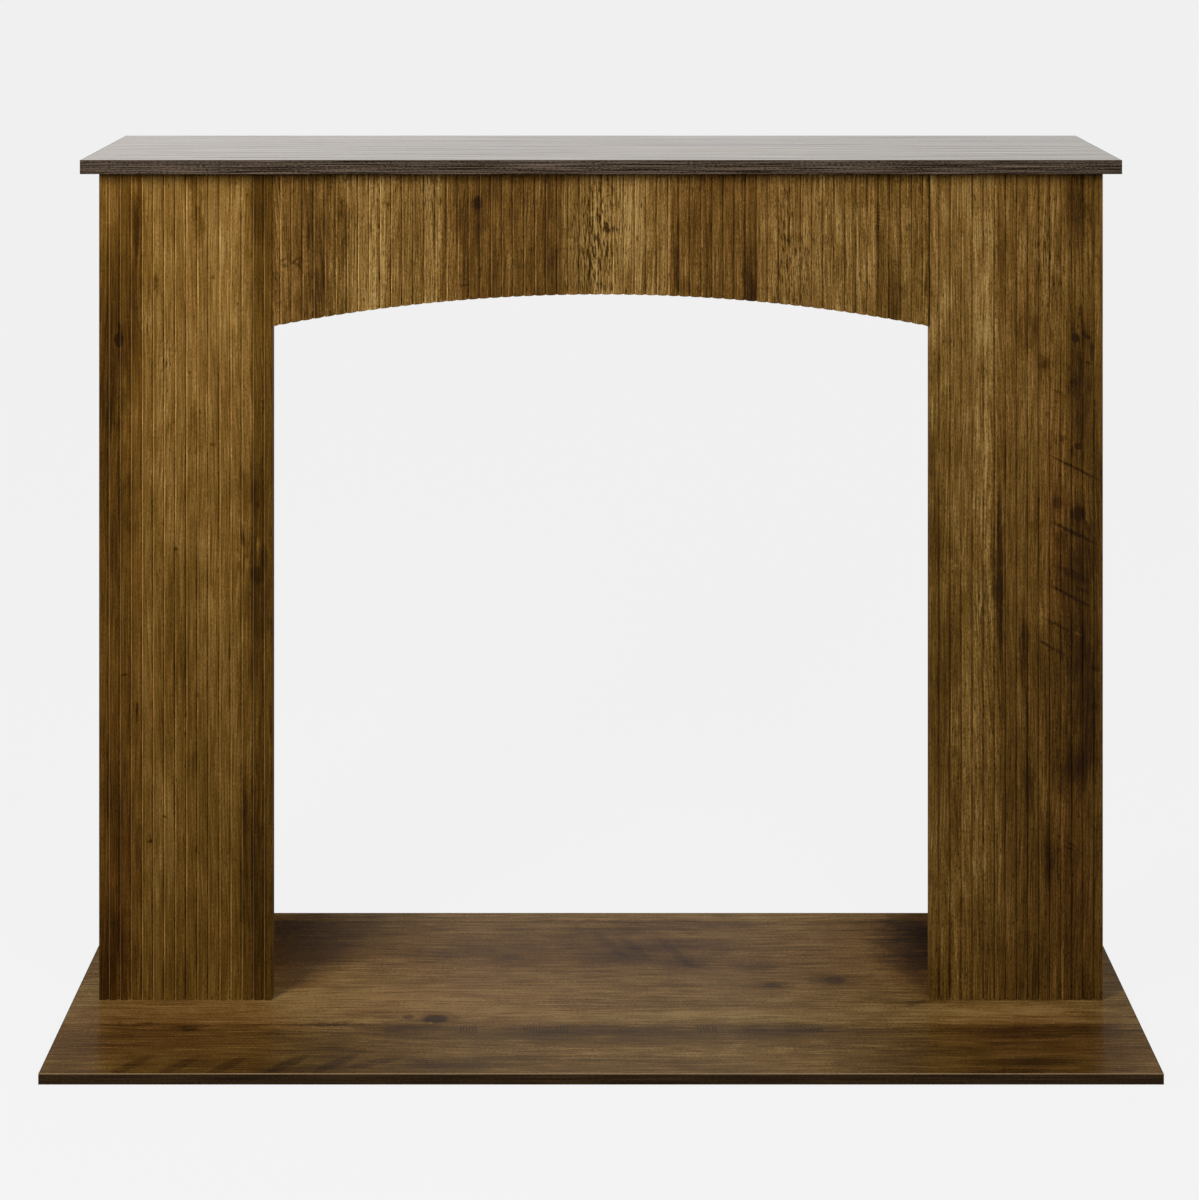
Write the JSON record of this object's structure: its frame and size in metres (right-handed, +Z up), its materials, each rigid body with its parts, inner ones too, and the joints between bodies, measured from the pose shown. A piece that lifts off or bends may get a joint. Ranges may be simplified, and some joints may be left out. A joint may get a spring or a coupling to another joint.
{
  "type": "electric fireplace surround",
  "caption": "Free-standing fireplace surround with reeded wood-effect jambs and arched header, a flat mantel shelf and a hearth board, joined by cam locks, dowels and screws.",
  "frame": {"origin": "middle of the hearth board's underside, on the floor", "axes": "+X to the right seen from the front, +Y to the wall behind, +Z up"},
  "size_m": [1.22, 0.38, 0.986],
  "materials": {
    "panel_foil": "printed wood foil over reeded board",
    "hearth_foil": "printed wood foil, satin",
    "hearth_band": "dark wood edge band",
    "mantel_foil": "printed wood foil, satin",
    "mantel_band": "dark wood edge band",
    "pine": "planed pine",
    "beech": "turned beech",
    "zinc": "die-cast zinc",
    "plated_steel": "zinc-plated steel"
  },
  "bodies": {
    "surround": {"left_jamb_panel": "panel_foil", "right_jamb_panel": "panel_foil", "arch_header_panel": "panel_foil", "left_side_panel": "panel_foil", "right_side_panel": "panel_foil", "hearth_board": "hearth_foil", "hearth_front_edge_band": "hearth_band", "hearth_left_edge_band": "hearth_band", "hearth_right_edge_band": "hearth_band", "mantel_shelf": "mantel_foil", "mantel_front_edge_band": "mantel_band", "mantel_left_edge_band": "mantel_band", "mantel_right_edge_band": "mantel_band", "rear_top_rail": "pine", "header_cleat": "pine", "left_seam_batten": "pine", "right_seam_batten": "pine", "left_front_base_block": "pine", "right_front_base_block": "pine", "left_side_base_block": "pine", "right_side_base_block": "pine", "header_dowels": "beech", "jamb_dowels": "beech", "mantel_dowels": "beech", "rear_rail_dowels": "beech", "jamb_cam_bolts": "plated_steel", "mantel_cam_bolts": "plated_steel", "left_wall_bracket": "plated_steel", "right_wall_bracket": "plated_steel", "header_cleat_screws": "plated_steel", "rear_rail_screws": "plated_steel", "seam_batten_screws": "plated_steel", "base_block_screws": "plated_steel", "hearth_screws": "plated_steel", "wall_bracket_screws": "plated_steel"},
    "left_jamb_cam_lower": {"left_jamb_cam_lower": "zinc"},
    "left_jamb_cam_middle": {"left_jamb_cam_middle": "zinc"},
    "left_jamb_cam_upper": {"left_jamb_cam_upper": "zinc"},
    "left_mantel_cam_front": {"left_mantel_cam_front": "zinc"},
    "left_mantel_cam_rear": {"left_mantel_cam_rear": "zinc"},
    "right_jamb_cam_lower": {"right_jamb_cam_lower": "zinc"},
    "right_jamb_cam_middle": {"right_jamb_cam_middle": "zinc"},
    "right_jamb_cam_upper": {"right_jamb_cam_upper": "zinc"},
    "right_mantel_cam_front": {"right_mantel_cam_front": "zinc"},
    "right_mantel_cam_rear": {"right_mantel_cam_rear": "zinc"}
  },
  "joints": [
    {"name": "left_jamb_cam_lower_turn", "type": "hinge", "parent": "surround", "child": "left_jamb_cam_lower", "pos_m": [-0.572, 0.012, 0.122], "axis": [1, 0, 0], "range_deg": [0, 180]},
    {"name": "left_jamb_cam_middle_turn", "type": "hinge", "parent": "surround", "child": "left_jamb_cam_middle", "pos_m": [-0.572, 0.012, 0.491], "axis": [1, 0, 0], "range_deg": [0, 180]},
    {"name": "left_jamb_cam_upper_turn", "type": "hinge", "parent": "surround", "child": "left_jamb_cam_upper", "pos_m": [-0.572, 0.012, 0.86], "axis": [1, 0, 0], "range_deg": [0, 180]},
    {"name": "left_mantel_cam_front_turn", "type": "hinge", "parent": "surround", "child": "left_mantel_cam_front", "pos_m": [-0.572, 0.048, 0.946], "axis": [1, 0, 0], "range_deg": [0, 180]},
    {"name": "left_mantel_cam_rear_turn", "type": "hinge", "parent": "surround", "child": "left_mantel_cam_rear", "pos_m": [-0.572, 0.105, 0.946], "axis": [1, 0, 0], "range_deg": [0, 180]},
    {"name": "right_jamb_cam_lower_turn", "type": "hinge", "parent": "surround", "child": "right_jamb_cam_lower", "pos_m": [0.572, 0.012, 0.122], "axis": [-1, 0, 0], "range_deg": [0, 180]},
    {"name": "right_jamb_cam_middle_turn", "type": "hinge", "parent": "surround", "child": "right_jamb_cam_middle", "pos_m": [0.572, 0.012, 0.491], "axis": [-1, 0, 0], "range_deg": [0, 180]},
    {"name": "right_jamb_cam_upper_turn", "type": "hinge", "parent": "surround", "child": "right_jamb_cam_upper", "pos_m": [0.572, 0.012, 0.86], "axis": [-1, 0, 0], "range_deg": [0, 180]},
    {"name": "right_mantel_cam_front_turn", "type": "hinge", "parent": "surround", "child": "right_mantel_cam_front", "pos_m": [0.572, 0.048, 0.946], "axis": [-1, 0, 0], "range_deg": [0, 180]},
    {"name": "right_mantel_cam_rear_turn", "type": "hinge", "parent": "surround", "child": "right_mantel_cam_rear", "pos_m": [0.572, 0.105, 0.946], "axis": [-1, 0, 0], "range_deg": [0, 180]}
  ]
}
